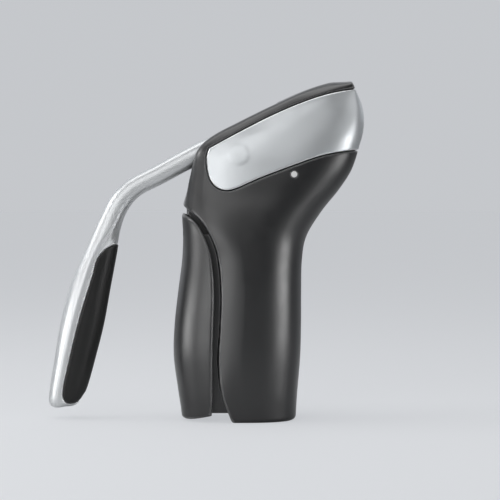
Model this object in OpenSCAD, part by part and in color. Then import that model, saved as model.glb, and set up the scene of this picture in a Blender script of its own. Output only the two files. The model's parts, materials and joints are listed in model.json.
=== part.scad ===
// Vertical lever corkscrew in millimetres: +X to the nose, +Y to the rear, +Z up.
// The origin is where the worm's axis meets the surface that the corkscrew stands on.

/* [Body] */
// Reach of the body from the worm's axis, on the nose side
body_right = 39.7; // [37:0.1:43]
// Reach of the body from the worm's axis, on the jaw side
body_left = 40.3; // [38:0.1:43]
// Depth of the lower body, front to rear
body_d = 54; // [52:0.5:60]
// Depth of the head at the lever's axle, front to rear
head_d = 45; // [43:0.5:50]
// Height of the lower body, up to where it widens into the head
shoulder_z = 115; // [114:0.5:122]
// Reach of the nose from the worm's axis
nose_reach = 78.6; // [74:0.1:84]
// Wall of the moulded shells
wall = 2.2; // [1.6:0.1:2.6]
// Height of the rounded edge round the base
base_round = 2.8; // [2.2:0.1:4]
// Thickness of the silver head cover
cover_t = 1.8; // [1.2:0.1:2.4]
// Gap between the head cover and the black shell round it
cover_gap = 0.4; // [0.2:0.1:0.8]
// Diameter of the white dots
dot_d = 3.8; // [2:0.1:5]
// Depth that the white dots are let in
dot_t = 1; // [0.6:0.1:1.4]

/* [Jaw] */
// Width of the groove between the jaw and the body
groove_w = 4; // [3.4:0.1:5]
// Angle that the jaw closes through
jaw_turn = 1.6; // [1:0.1:1.8]
// Gap between the jaw and the surface below it
jaw_lift = 0.6; // [0.4:0.1:1.2]
// Diameter of the jaw's hinge pin
hinge_pin_d = 4; // [3:0.1:5]
// Wire of the jaw's spring
spring_wire = 1.2; // [0.8:0.1:1.6]
// Outside diameter of the jaw's spring
spring_d = 8.2; // [6:0.1:9]

/* [Bottle neck] */
// Diameter of the hole that takes the bottle's neck
neck_d = 30.4; // [29:0.1:31.4]
// Thickness of the rubber pads round the neck
pad_t = 3; // [2:0.1:3.4]
// Depth of the neck hole up to the stop
neck_depth = 46.4; // [44:0.1:48]
// Thickness of the stop plate
stop_t = 4; // [3:0.1:5]
// Diameter of the foil wheels
wheel_d = 9; // [7:0.1:10]
// Thickness of the foil wheels
wheel_t = 1.5; // [1:0.1:2]

/* [Lever] */
// Reach of the lever's tip from the worm's axis
lever_reach = 119.2; // [116:0.1:122]
// Half width of the lever's arm
arm_half_w = 8.5; // [7.5:0.1:9]
// Half width of the lever at its grip
grip_half_w = 11; // [9:0.1:13]
// Angle that the lever swings through
lever_turn = 102; // [90:1:102]
// Diameter of the lever's axle
axle_d = 8; // [6:0.1:8.6]

/* [Gears] */
// Tooth module
tooth = 2; // [1.9:0.01:2.02]
// Pressure angle
pressure = 25; // [24:0.5:27]
// Play between the teeth
backlash = 0.3; // [0.2:0.05:0.4]
// Width of the sector
sector_w = 10; // [8:0.1:11]
// Width of each rack
rack_w = 5; // [4:0.1:6]
// Diameter of the idler's axle
idler_axle_d = 6; // [4:0.1:7]

/* [Worm] */
// Outside diameter of the worm
worm_d = 8.6; // [8:0.1:9]
// Wire of the worm
worm_wire = 2.6; // [2.2:0.1:3]
// Rise of one turn
worm_pitch = 9; // [8.6:0.1:10]
// Diameter of the shank that turns in the carriage
shank_d = 6; // [5:0.1:7]
// Diameter of the guide rods
rod_d = 5; // [4:0.1:5.6]

/* [Fits] */
// Radial play of a pin or shaft that turns or slides
run_fit = 0.05; // [0.02:0.01:0.09]
// Gap between pieces that pass each other
pass_gap = 0.5; // [0.3:0.05:0.8]

/* [Hidden] */
$fn = 48;

black = "#2d2c31";
dark_grey = "#48494c";
silver = "#d9dfe2";
steel = "#a9adb1";
white = "#f7f7f5";
brass = "#b08d4f";
rubber = "#39393b";
coated = "#3b3b3e";

// Longer than the whole part, for cuts that go right through
far = 300;

// Gear train: the sector drives the idler, which drives the racks down
// The sector's teeth are counted round its whole circle
sector_teeth = 28;
idler_teeth = 12;
sector_r = tooth * sector_teeth / 2;
idler_r = tooth * idler_teeth / 2;
rack_pitch_x = 14;
lever_axis = [4, shoulder_z + 47];
idler_x = rack_pitch_x + idler_r;
idler_drop = sqrt(pow(sector_r + idler_r, 2) - pow(idler_x - lever_axis[0], 2));
idler_axis = [idler_x, lever_axis[1] - idler_drop];
mesh_angle = atan2(-idler_drop, idler_x - lever_axis[0]);
travel = sector_r * lever_turn * PI / 180;
tooth_tip = tooth;
tooth_root = 1.25 * tooth;
tooth_pitch = PI * tooth;
flank_steps = 4;

// Heights of the pieces on the worm's axis, counted up from the neck stop
stop_z = neck_depth;
carriage_rise = 65.6;
carriage_z = stop_z + carriage_rise;
carriage_h = 14;
flange_t = 2.7;
collar_t = 3;
thrust_gap = 0.3;
worm_tip_rise = 5;
worm_tip_z = stop_z + worm_tip_rise;
tube_top = carriage_z - travel - flange_t - 2 * pass_gap - 1;
tube_ledge_z = stop_z + stop_t;

// Bottle neck
neck_r = neck_d / 2;
pad_r = neck_r + pad_t;
tube_r = pad_r + wall;
pad_z = 1;
pad_end_gap = 0.6;

// Jaw
hinge_axis = [-23.5, shoulder_z + 18];
pad_mid_z = (pad_z + neck_depth) / 2;
function jaw_shift(z) = (hinge_axis[1] - z) * sin(jaw_turn);
jaw_pad_x = -jaw_shift(pad_mid_z);
jaw_pad_half_w = 12;
lug_half_w = 7;
lug_r = 4.6;
lug_foot = [-29.5, shoulder_z + 2];
// Extra room round the lug, because it turns with the jaw
lug_sweep = 0.6;
// Where the body's edge of the groove lies furthest right, and where the jaw's edge ends
edge_mid = [-10.9, 82];
jaw_edge_x = -11.8 - groove_w;
spring_z = edge_mid[1];

// Foil wheels
wheel_r = wheel_d / 2;
wheel_drop = 10.4;
wheel_z = stop_z - wheel_drop;
wheel_pin_d = 2;
wheel_edge_gap = 0.1;
wheel_boss_r = wheel_r + 1.8;
wheel_boss_h = 9;
wheel_pin_h = 7;
wheel_ring = neck_r + wheel_edge_gap + wheel_r;
body_wheel_angle = 35;
jaw_wheel_angle = 25;
body_wheel = [wheel_ring * cos(body_wheel_angle), wheel_ring * sin(body_wheel_angle)];
jaw_wheel_x = -wheel_ring * cos(jaw_wheel_angle) - jaw_shift(wheel_z);
jaw_wheel = [jaw_wheel_x, wheel_ring * sin(jaw_wheel_angle)];

// Mechanism inside the head
rack_gap = 2;
rack_y = sector_w / 2 + rack_gap;
rack_spine = 2;
rack_back = rack_pitch_x - tooth_root - rack_spine;
idler_half_w = rack_y + rack_w + pass_gap;
boss_y = idler_half_w + pass_gap;
axle_half = head_d / 2 - cover_t - wall - 0.3;
idler_axle_half = 18;
hinge_pin_half = 17;
hub_half = rack_y - pass_gap;
hub_r = axle_d / 2 + 5;
rod_x = -2;
rod_y = 15;
rod_foot_z = tube_ledge_z + 2;
rod_boss_z = carriage_z + carriage_h + 2;
rod_boss_h = 5;
rod_boss_wall = 1.6;
axle_boss_wall = 3.5;
pin_boss_wall = 2.5;
rod_depth = 4;
bush_r = shank_d / 2 + 2;
guide_r = 9;
guide_bore_r = worm_d / 2 + pass_gap;
guide_pin_r = 1.7;

// Lever slot in the head
slot_half = arm_half_w + 0.8;
slot_sill = shoulder_z + 38;
slot_end = 24;
slot_ramp_x = -24;
slot_rise = 20;

// White dots: place, and the Y of their faces
dot_at = [34.2, shoulder_z + 38.8];
dot_face = head_d / 2 + 0.45;

// Screws: X, Z and the Y where the head seats
screws = [
    [29, 14, body_d / 2 - 13], [29, 75, body_d / 2 - 13],
    [50, shoulder_z + 35, head_d / 2 - 9], [59, shoulder_z + 69, head_d / 2 - 12]
];
screw_d = 3;
screw_head_d = 6;
screw_head_t = 2.4;
screw_head_play = 0.4;
screw_grip = 10;
screw_boss_r = 4.2;

// Smooth curves through points
function end_point(p, i) =
    i < 0 ? 2 * p[0] - p[1]
    : i >= len(p) ? 2 * p[len(p) - 1] - p[len(p) - 2]
    : p[i];
function curve_point(a, b, c, d, t) =
    (2 * b + (c - a) * t + (2 * a - 5 * b + 4 * c - d) * t * t + (3 * b - a - 3 * c + d) * t * t * t) / 2;
function smooth(p, steps) = concat(
    [for (i = [0 : len(p) - 2], k = [0 : steps - 1])
        curve_point(end_point(p, i - 1), p[i], p[i + 1], end_point(p, i + 2), k / steps)],
    [p[len(p) - 1]]
);
function heading(p, i) =
    let (d = p[min(i + 1, len(p) - 1)] - p[max(i - 1, 0)])
    d / norm(d);
// The path p moved sideways by w, to its left as it runs
function beside(p, w) = [for (i = [0 : len(p) - 1]) p[i] + w * [-heading(p, i)[1], heading(p, i)[0]]];

// Points moved by d
function moved(p, d) = [for (q = p) q + d];

// A rung is one cross-section: left X and Z, right X and Z, half depth, squareness
function moved_rungs(rungs, d) = [for (r = rungs) r + [d[0], d[1], d[0], d[1], 0, 0]];
function bulge(c, n) = sign(c) * pow(abs(c), 2 / n);
function rung_point(r, a) =
    let (u = bulge(cos(a), r[5]), v = bulge(sin(a), r[5]))
    [
        (r[0] + r[2]) / 2 + u * (r[2] - r[0]) / 2,
        r[4] * v,
        (r[1] + r[3]) / 2 + u * (r[3] - r[1]) / 2
    ];
function whole_rings(rungs, n, first) =
    [for (r = rungs) [for (k = [0 : n - 1]) rung_point(r, (k + first) * 360 / n)]];
function half_rings(rungs, n) =
    [for (r = rungs) [for (k = [0 : n]) rung_point(r, k * 180 / n)]];
function inset(rungs, w) =
    let (
        left = beside([for (r = rungs) [r[0], r[1]]], -w),
        right = beside([for (r = rungs) [r[2], r[3]]], w)
    )
    [for (i = [0 : len(rungs) - 1])
        [left[i][0], left[i][1], right[i][0], right[i][1], rungs[i][4] - w, rungs[i][5]]];

// The cavity is deeper by the cover's thickness behind the cover
cover_root_z = shoulder_z + 11;
cover_blend = 14;
function under_cover(r) = cover_t * min(1, max(0, (r[3] - cover_root_z) / cover_blend));
function deepen(r, c) =
    let (d = [r[0] - r[2], r[1] - r[3]], n = d / norm(d))
    [r[0], r[1], r[2] + c * n[0], r[3] + c * n[1], r[4] - c, r[5]];

// Closed solid through rings of equal count
module skin(rings) {
    n = len(rings[0]);
    m = len(rings);
    sides = [for (i = [0 : m - 2], j = [0 : n - 1])
        let (a = i * n + j, b = i * n + (j + 1) % n)
        each [[a, b + n, b], [a, a + n, b + n]]];
    bottom = [for (j = [0 : n - 1]) j];
    top = [for (j = [n - 1 : -1 : 0]) (m - 1) * n + j];
    polyhedron([for (r = rings) each r], concat(sides, [bottom, top]), convexity = 8);
}

// Flat shape drawn in X and Z, given a thickness in Y
module across(w) {
    rotate([90, 0, 0]) linear_extrude(w, center = true) children();
}
module from_to(y0, y1) {
    translate([0, y1, 0]) rotate([90, 0, 0]) linear_extrude(y1 - y0) children();
}
// Round bar along Y at the point p of X and Z
module cross_bar(p, r, y0, y1) {
    translate([p[0], y1, p[1]]) rotate([90, 0, 0]) cylinder(r = r, h = y1 - y0);
}
module upright(x, y, z, r, h) {
    translate([x, y, z]) cylinder(r = r, h = h);
}

// Outer form of the body, jaw and head together
half_d = body_d / 2;
head_half_d = head_d / 2;
lower_rungs = [
    [5.4 - body_left, base_round, body_right - 3.3, base_round, half_d - 1.8, 2.6],
    [2.8 - body_left, 18, body_right - 2.2, 18, half_d - 0.6, 2.6],
    [-body_left, 40, body_right - 0.5, 40, half_d, 2.6],
    [0.6 - body_left, 60, body_right, 60, half_d, 2.6],
    [2.8 - body_left, 80, body_right, 80, half_d, 2.6]
];
// Heights from here up are counted from the shoulder
upper_rungs = [
    [5.3 - body_left, -15, body_right + 0.4, -15, half_d - 0.4, 2.6],
    [5.9 - body_left, 0, body_right + 3.2, 0, half_d - 0.9, 2.6],
    [5.3 - body_left, 15, body_right + 12.6, 15.5, half_d - 1.8, 2.7],
    [6.9 - body_left, 27, body_right + 22.6, 28, head_half_d + 1.4, 2.8],
    [9.6 - body_left, 40, nose_reach - 8.9, 39, head_half_d + 0.6, 2.9],
    [14.4 - body_left, 53, nose_reach - 5.2, 48, head_half_d, 3],
    [-16, 62, nose_reach - 3, 56, head_half_d - 0.9, 3],
    [0, 70.5, nose_reach - 1.2, 62, head_half_d - 2, 3],
    [20, 80.4, nose_reach, 69, head_half_d - 3.6, 3],
    [40, 89.4, nose_reach - 0.2, 76, head_half_d - 5.4, 3],
    [57, 94.9, nose_reach - 1.9, 83.5, head_half_d - 8, 3],
    [nose_reach - 7.8, 96.6, nose_reach - 5, 90.8, head_half_d - 11, 3]
];
body_rungs = concat(
    [[8 - body_left, 0, body_right - 5.2, 0, half_d - 3.4, 2.6]],
    smooth(concat(lower_rungs, moved_rungs(upper_rungs, [0, shoulder_z])), 2)
);
rung_count = len(body_rungs);
half_ring_count = 12;
head_row = 16;
inner_ring_count = 20;
main_rungs = [for (i = [1 : 2 : rung_count - 3]) body_rungs[i]];
cavity_rungs = [for (r = inset(main_rungs, wall)) deepen(r, under_cover(r))];
head_rungs = [for (i = [head_row : rung_count - 1]) body_rungs[i]];

module outer_form() skin(whole_rings(body_rungs, 2 * half_ring_count, 0));
module outer_half() skin(half_rings(body_rungs, half_ring_count));
module head_form(w) skin(whole_rings(inset(head_rungs, w), 2 * half_ring_count, 0.5));
module cavity_form() skin(whole_rings(cavity_rungs, inner_ring_count, 0.5));

// Edges of the groove, from the head's left rim down to the base
body_edge_top = moved([[-41, 24], [-34.2, 19], [-22, 8.2], [-13.6, -9.5]], [0, shoulder_z]);
body_edge_low = [edge_mid, [-11.4, 60], [-12.5, 38], [-10.4, 18], [-4.2, 0.8], [-3.4, -3]];
body_edge = smooth(concat(body_edge_top, body_edge_low), 4);
jaw_edge_top = moved([[-44, 21.6], [-34.6, 14.8], [-25, 7.6], [-17.2, -10.5]], [0, shoulder_z]);
jaw_edge_low = [edge_mid - [groove_w, 0], [-11.4 - groove_w, 60], [jaw_edge_x, 38], [jaw_edge_x, 14]];
jaw_edge = smooth(concat(jaw_edge_top, jaw_edge_low), 4);
jaw_heel = [-16.5, 4.2];
jaw_toe = [-32, jaw_lift];

// What lies left of the body's edge, moved right by w
module left_of_body(w) {
    polygon(concat(beside(body_edge, w), [[-far, -far], [-far, body_edge[0][1]]]));
}
module jaw_outline() {
    polygon(concat(jaw_edge, [jaw_heel, jaw_toe, [-far, jaw_lift], [-far, jaw_edge[0][1]]]));
}

// Outline of the silver cover, closed beyond the nose, and the cover's play on its seat
cover_seat = 0.1;
cover_end = nose_reach + 12;
cover_top = smooth([
    [-18.2, 54.6], [-2, 63.4], [19, 74.2], [40, 83.2], [57, 88.6], [74, 91.4], [cover_end, 92]
], 3);
cover_low = smooth([
    [cover_end, 53.6], [74, 53.8], [53, 50.8], [32, 43.8], [12, 36.2], [-1, 30.4], [-8, 29],
    [-13.6, 31], [-17.4, 35.8], [-19.2, 42.6], [-19.6, 49.4]
], 3);
cover_edge = moved(concat(cover_top, cover_low), [0, shoulder_z]);
module cover_outline(w) {
    polygon(beside(cover_edge, w));
}

// Seat of a foil wheel: the boss round it, and the cuts for the wheel and its pin
module wheel_boss(x, y) {
    upright(x, y, wheel_z - wheel_boss_h / 2, wheel_boss_r, wheel_boss_h);
}
module wheel_cuts(x, y) {
    upright(x, y, wheel_z - wheel_t / 2 - pass_gap / 2, wheel_r + pass_gap, wheel_t + pass_gap);
    upright(x, y, wheel_z - wheel_pin_h / 2, wheel_pin_d / 2, wheel_pin_h);
}

// Bosses, ribs and tubes that stand in the shells' cavity
module shell_bosses() {
    upright(0, 0, 0, tube_r, tube_top);
    for (side = [-1, 1]) {
        wheel_boss(body_wheel[0], side * body_wheel[1]);
        mirror([0, side > 0 ? 0 : 1, 0]) {
            cross_bar(lever_axis, axle_d / 2 + axle_boss_wall, boss_y, far);
            cross_bar(idler_axis, idler_axle_d / 2 + axle_boss_wall, boss_y, far);
            cross_bar(hinge_axis, hinge_pin_d / 2 + pin_boss_wall, boss_y, far);
            translate([rod_x - rod_d, rod_y - rod_d / 2 - rod_boss_wall, rod_boss_z])
                cube([2 * rod_d, far, rod_boss_h]);
        }
    }
    for (s = screws)
        cross_bar(s, screw_boss_r, -far, far);
}

// Lip inside the groove that closes the view between jaw and body
lip_half_w = 21;
lip_t = 2.4;
lip_reach = groove_w + 2.4;
lip_low = 6.5;
lip_top = shoulder_z + 1;
// Web nearer the middle, which closes the groove's upper end beside the jaw's lug
web_half_w = lug_half_w + pass_gap + 4;
web_low = shoulder_z - 17;
web_top = shoulder_z + 17;
// Room between the lip and the jaw's outer wall, which closes towards it
lip_margin = 1.2;
lip_ring_count = 12;
module groove_lip() {
    intersection() {
        union() {
            from_to(lip_half_w - lip_t, lip_half_w)
                lip_outline(wall / 2, lip_reach, lip_low, lip_top);
            from_to(web_half_w - lip_t, web_half_w)
                lip_outline(wall / 2, lip_reach, web_low, web_top);
        }
        skin(whole_rings(inset(main_rungs, wall + lip_margin), lip_ring_count, 0.5));
    }
}
// From right of the body's edge to left of it, between two heights
module lip_outline(right, left, low, top) {
    intersection() {
        difference() {
            left_of_body(right);
            left_of_body(-left);
        }
        translate([-far / 2, low]) square([far, top - low]);
    }
}
// Room for the lip and web inside the jaw, which moves over them as it closes
module lip_room() {
    reach = lip_reach + jaw_shift(0) + pass_gap;
    intersection() {
        union() {
            from_to(lip_half_w - lip_t - pass_gap, lip_half_w + pass_gap)
                lip_outline(wall, reach, lip_low - pass_gap, lip_top + pass_gap);
            from_to(web_half_w - lip_t - pass_gap, web_half_w + pass_gap)
                lip_outline(wall, reach, web_low - pass_gap, web_top + pass_gap);
        }
        cavity_form();
    }
}

// Everything cut out of a shell, drawn for the rear half
module shell_cuts() {
    upright(0, 0, -1, pad_r, tube_ledge_z + 1);
    upright(0, 0, 0, guide_r + run_fit, tube_top + 1);
    wheel_cuts(body_wheel[0], body_wheel[1]);
    upright(rod_x, rod_y, rod_foot_z, rod_d / 2, rod_boss_z + rod_depth - rod_foot_z);
    cross_bar(lever_axis, axle_d / 2, 0, axle_half);
    cross_bar(idler_axis, idler_axle_d / 2, 0, idler_axle_half);
    cross_bar(hinge_axis, hinge_pin_d / 2, 0, hinge_pin_half);
    across(2 * slot_half)
        polygon([
            [-far, slot_sill], [slot_ramp_x, slot_sill], [slot_end, slot_sill + slot_rise],
            [slot_end, far], [-far, far]
        ]);
    across(2 * (lug_half_w + pass_gap)) lug_outline(pass_gap + lug_sweep);
    cross_bar(dot_at, dot_d / 2, dot_face - dot_t, far);
    cover_pocket();
}
module cover_pocket() {
    difference() {
        from_to(-1, far) cover_outline(cover_gap);
        head_form(cover_t);
    }
}

// One half of the body, drawn as the rear half without its screw holes
module half_shell() {
    difference() {
        outer_half();
        difference() {
            cavity_form();
            across(far) left_of_body(wall);
            shell_bosses();
        }
        across(far) left_of_body(0);
        shell_cuts();
    }
    groove_lip();
}
module rear_body_shell() {
    color(black)
        difference() {
            half_shell();
            for (s = screws) {
                cross_bar(s, screw_d / 2 + run_fit, -1, far);
                cross_bar(s, screw_head_d / 2 + screw_head_play, s[2], far);
            }
        }
}
module front_body_shell() {
    color(black)
        difference() {
            mirror([0, 1, 0]) half_shell();
            for (s = screws)
                cross_bar(s, screw_d / 2, -screw_grip, 1);
        }
}

module head_cover() {
    color(silver)
        intersection() {
            difference() {
                head_form(0);
                head_form(cover_t - cover_seat);
            }
            across(far) cover_outline(0);
        }
}
module indicator_dots() {
    color(white)
        for (side = [0, 1])
            mirror([0, side, 0]) cross_bar(dot_at, dot_d / 2, dot_face - dot_t, dot_face);
}

// Arm of the jaw from its foot to the hinge, widened by w
module lug_outline(w) {
    translate(hinge_axis) circle(lug_r + w);
    lean = atan2(hinge_axis[1] - lug_foot[1], hinge_axis[0] - lug_foot[0]);
    translate(lug_foot) rotate(lean)
        translate([0, -lug_r - w]) square([norm(hinge_axis - lug_foot), 2 * (lug_r + w)]);
}

// Ribs and seats inside the jaw
carrier_x = -27;
carrier_half_w = jaw_pad_half_w + 2;
rib_t = 2.4;
roof_t = wall + 0.4;
cup_wall = 1.6;
rib_heights = [9, 25, 43];
spring_cup_x = -30;
module jaw_bosses() {
    translate([carrier_x, -carrier_half_w, rib_t])
        cube([far, 2 * carrier_half_w, neck_depth - rib_t]);
    for (z = rib_heights)
        translate([-far, -carrier_half_w, z - rib_t / 2])
            cube([far + carrier_x + 1, 2 * carrier_half_w, rib_t]);
    for (side = [-1, 1])
        wheel_boss(jaw_wheel[0], side * jaw_wheel[1]);
    translate([-far, 0, spring_z])
        rotate([0, 90, 0]) cylinder(r = spring_d / 2 + cup_wall, h = far + spring_cup_x);
    across(2 * lug_half_w) lug_outline(0);
    across(far) jaw_roof();
    across(far) jaw_floor();
}
module jaw_roof() {
    below = [[jaw_edge_x, -far], [-far, -far], [-far, jaw_edge[0][1]]];
    difference() {
        jaw_outline();
        translate([0, -roof_t]) polygon(concat(jaw_edge, below));
    }
}
module jaw_floor() {
    rise = [0, rib_t];
    polygon([[-far, 0], jaw_toe, jaw_heel, jaw_heel + rise, jaw_toe + rise, [-far, rib_t]]);
}
module squeeze_jaw() {
    color(black)
        difference() {
            union() {
                difference() {
                    intersection() {
                        outer_form();
                        across(far) jaw_outline();
                    }
                    difference() {
                        cavity_form();
                        jaw_bosses();
                    }
                }
                across(2 * lug_half_w) lug_outline(0);
            }
            upright(jaw_pad_x, 0, -1, pad_r, neck_depth + 1);
            cross_bar(hinge_axis, hinge_pin_d / 2 + run_fit, -far, far);
            translate([spring_cup_x, 0, spring_z])
                rotate([0, 90, 0]) cylinder(r = spring_d / 2 + pass_gap, h = far);
            for (side = [0, 1])
                mirror([0, side, 0]) {
                    wheel_cuts(jaw_wheel[0], jaw_wheel[1]);
                    lip_room();
                }
        }
}

// Lever: sections from the tip up to the root, outer edge first
// The X of the handle is counted from the tip, the Z of the arm from the shoulder
lever_tip = [[2.8, 7.4, 16.8, 8.2, grip_half_w - 3.6, 2.4]];
handle_rungs = [
    [0, 11, 20.8, 12, grip_half_w - 1.4, 2.4],
    [1, 21, 24.6, 20, grip_half_w - 0.4, 2.4],
    [4.2, 40, 30.2, 40, grip_half_w, 2.4],
    [7.6, 60, 35.2, 60, grip_half_w, 2.4],
    [13.6, 83, 39.2, 82, grip_half_w - 0.4, 2.4],
    [22.6, 105, 43.2, 103, grip_half_w - 1.4, 2.4]
];
arm_rungs = [
    [-88, 9, -73.4, 3, arm_half_w + 0.2, 2.5],
    [-79.6, 25, -69.2, 15, arm_half_w, 2.6],
    [-69, 35.6, -61, 24.8, arm_half_w, 2.6],
    [-54, 43.6, -46.4, 32.4, arm_half_w, 2.6],
    [-38, 52.4, -30.4, 41, arm_half_w, 2.6],
    [-22, 60.6, -14.6, 48.6, arm_half_w, 2.6],
    [-8.4, 68, -1.2, 55.8, arm_half_w - 1, 2.6]
];
lever_rungs = concat(
    moved_rungs(lever_tip, [-lever_reach, 0]),
    smooth(concat(moved_rungs(handle_rungs, [-lever_reach, 0]), moved_rungs(arm_rungs, [0, shoulder_z])), 2)
);
lever_ring_count = 16;
module lever_form() skin(whole_rings(lever_rungs, lever_ring_count, 0.5));
grip_edge = smooth([
    [49.2, 111], [38.4, 108], [31.6, 101.2], [28.2, 90], [20, 63], [12.6, 33],
    [9.6, 17], [10.8, 11.4], [14.8, 9.7], [19.6, 11.4], [23, 15.6], [29.2, 22]
], 3);
grip_corner = [59.2, 60];
module grip_outline() {
    polygon(moved(concat(grip_edge, [grip_corner]), [-lever_reach, 0]));
}
rivet_d = 4;
rivet_inset = 0.6;
rivets = moved([[-9, 59], [-17, 55]], [0, shoulder_z]);
tang = moved([[-5, 49], [-20, 50.6], [-22.4, 55.4], [-7, 63.6], [11, 54]], [0, shoulder_z]);
module lever_arm() {
    color(silver)
        difference() {
            lever_form();
            across(far) grip_outline();
            across(sector_w) polygon(tang);
            for (p = rivets)
                cross_bar(p, rivet_d / 2, -far, far);
        }
}
module lever_grip() {
    color(black)
        intersection() {
            lever_form();
            across(far) grip_outline();
        }
}
module lever_rivets() {
    color(steel)
        for (p = rivets)
            cross_bar(p, rivet_d / 2, rivet_inset - arm_half_w, arm_half_w - rivet_inset);
}

// Involute teeth
function roll(base, r) =
    let (t = sqrt(max(0, r * r / (base * base) - 1)))
    t * 180 / PI - atan(t);
function tooth_half(count, r) =
    let (pitch_r = tooth * count / 2, base = pitch_r * cos(pressure))
    90 / count - backlash / 4 / pitch_r * 180 / PI + roll(base, pitch_r) - roll(base, max(base, r));
function tooth_radii(count) =
    let (pitch_r = tooth * count / 2, root = pitch_r - tooth_root, tip = pitch_r + tooth_tip)
    [for (k = [0 : flank_steps]) root + (tip - root) * k / flank_steps];
function tooth_points(count, centre) =
    let (radii = tooth_radii(count))
    concat(
        [for (r = radii) r * [cos(centre - tooth_half(count, r)), sin(centre - tooth_half(count, r))]],
        [for (k = [flank_steps : -1 : 0])
            let (r = radii[k])
            r * [cos(centre + tooth_half(count, r)), sin(centre + tooth_half(count, r))]]
    );
function teeth(count, start, first, last) =
    [for (k = [first : last]) each tooth_points(count, start + k * 360 / count)];

sector_last = ceil(lever_turn * sector_teeth / 360) + 1;
module lever_gear() {
    color(steel)
        difference() {
            union() {
                translate([lever_axis[0], 0, lever_axis[1]])
                    across(sector_w)
                        polygon(concat([[0, 0]], teeth(sector_teeth, mesh_angle, -1, sector_last)));
                cross_bar(lever_axis, hub_r, -hub_half, hub_half);
                across(sector_w) polygon(tang);
            }
            cross_bar(lever_axis, axle_d / 2 + run_fit, -far, far);
            for (p = rivets)
                cross_bar(p, rivet_d / 2, -far, far);
        }
}
module lever_axle() {
    color(steel) cross_bar(lever_axis, axle_d / 2, -axle_half, axle_half);
}

idler_first = mesh_angle + 180 + 180 / idler_teeth;
module idler_gear() {
    color(steel)
        difference() {
            translate([idler_axis[0], 0, idler_axis[1]])
                across(2 * idler_half_w)
                    polygon(teeth(idler_teeth, idler_first, 0, idler_teeth - 1));
            cross_bar(idler_axis, idler_axle_d / 2 + run_fit, -far, far);
        }
}
module idler_axle() {
    color(steel) cross_bar(idler_axis, idler_axle_d / 2, -idler_axle_half, idler_axle_half);
}

// Racks: a gap lies against the idler tooth nearest to the rack
near_tooth = idler_first + round((180 - idler_first) * idler_teeth / 360) * 360 / idler_teeth;
rack_phase = idler_axis[1] + idler_r * (180 - near_tooth) * PI / 180 + tooth_pitch / 2;
rack_first = -1;
rack_last = floor(travel / tooth_pitch);
rack_top = rack_phase + (rack_last + 0.5) * tooth_pitch;
tenon_r = 2;
tenon_len = 5;
module rack_outline() {
    half_pitch = tooth_pitch / 4 - backlash / 4;
    root_half = half_pitch + tooth_root * tan(pressure);
    tip_half = half_pitch - tooth_tip * tan(pressure);
    root_x = rack_pitch_x - tooth_root;
    tip_x = rack_pitch_x + tooth_tip;
    polygon(concat(
        [[rack_back, rack_top], [rack_back, carriage_z], [root_x, carriage_z]],
        [for (k = [rack_first : rack_last])
            let (c = rack_phase + k * tooth_pitch)
            each [
                [root_x, c - root_half], [tip_x, c - tip_half],
                [tip_x, c + tip_half], [root_x, c + root_half]
            ]],
        [[root_x, rack_top]]
    ));
}
module drive_racks() {
    color(steel)
        for (side = [0, 1])
            mirror([0, side, 0]) {
                from_to(rack_y, rack_y + rack_w) rack_outline();
                rack_tenon();
            }
}
module rack_tenon() {
    translate([rack_back - tenon_len, rack_y + rack_w / 2, carriage_z + carriage_h / 2])
        rotate([0, 90, 0]) cylinder(r = tenon_r, h = tenon_len);
}

carriage_boss_r = 7.5;
rod_sleeve_wall = 2.4;
web_back = 3;
web_step = 2;
module carriage() {
    color(dark_grey)
        difference() {
            union() {
                upright(0, 0, carriage_z, carriage_boss_r, carriage_h);
                for (side = [-1, 1])
                    upright(rod_x, side * rod_y, carriage_z, rod_d / 2 + rod_sleeve_wall, carriage_h);
                translate([rod_x - web_back, -rod_y, carriage_z + web_step])
                    cube([rack_back - rod_x + web_back, 2 * rod_y, carriage_h - 2 * web_step]);
            }
            for (side = [-1, 1])
                upright(rod_x, side * rod_y, 0, rod_d / 2 + run_fit, far);
            upright(0, 0, 0, bush_r, far);
            for (side = [0, 1])
                mirror([0, side, 0]) rack_tenon();
        }
}
module worm_bush() {
    color(brass)
        difference() {
            upright(0, 0, carriage_z, bush_r, carriage_h);
            upright(0, 0, 0, shank_d / 2 + run_fit, far);
        }
}
collar_z = carriage_z + carriage_h + thrust_gap;
module worm_collar() {
    color(steel)
        difference() {
            upright(0, 0, collar_z, shank_d / 2 + 3.4, collar_t);
            upright(0, 0, 0, shank_d / 2, far);
        }
}

// Coiled wire about Z: rings from the top down, drawn to a point over the last steps
function coil_frame(r, pitch, a) =
    let (along = [-r * sin(a), r * cos(a), pitch / 2 / PI], out = [cos(a), sin(a), 0])
    [out, cross(along / norm(along), out)];
function coil_rings(r, wire_r, pitch, z_low, a_low, turns, steps, sides, taper) =
    [for (k = [0 : turns * steps])
        let (
            a = a_low + k * 360 / steps,
            c = [r * cos(a), r * sin(a), z_low + pitch * k / steps],
            f = coil_frame(r, pitch, a),
            w = wire_r * min(1, 0.25 + 0.75 * k / max(taper, 0.001))
        )
        [for (j = [0 : sides - 1]) c + w * (f[0] * cos(j * 360 / sides) + f[1] * sin(j * 360 / sides))]];
worm_r = worm_d / 2 - worm_wire / 2;
worm_steps = 14;
worm_sides = 8;
worm_tip_angle = 0;
flange_z = carriage_z - thrust_gap - flange_t;
worm_turns = round((flange_z + flange_t / 2 - worm_tip_z) / worm_pitch * worm_steps) / worm_steps;
module worm() {
    color(coated) {
        skin(coil_rings(worm_r, worm_wire / 2, worm_pitch, worm_tip_z, worm_tip_angle, worm_turns,
            worm_steps, worm_sides, worm_steps * 0.6));
        upright(0, 0, flange_z, worm_d / 2 + 1.6, flange_t);
        upright(0, 0, flange_z, shank_d / 2, collar_z + collar_t - flange_z);
    }
}

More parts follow.
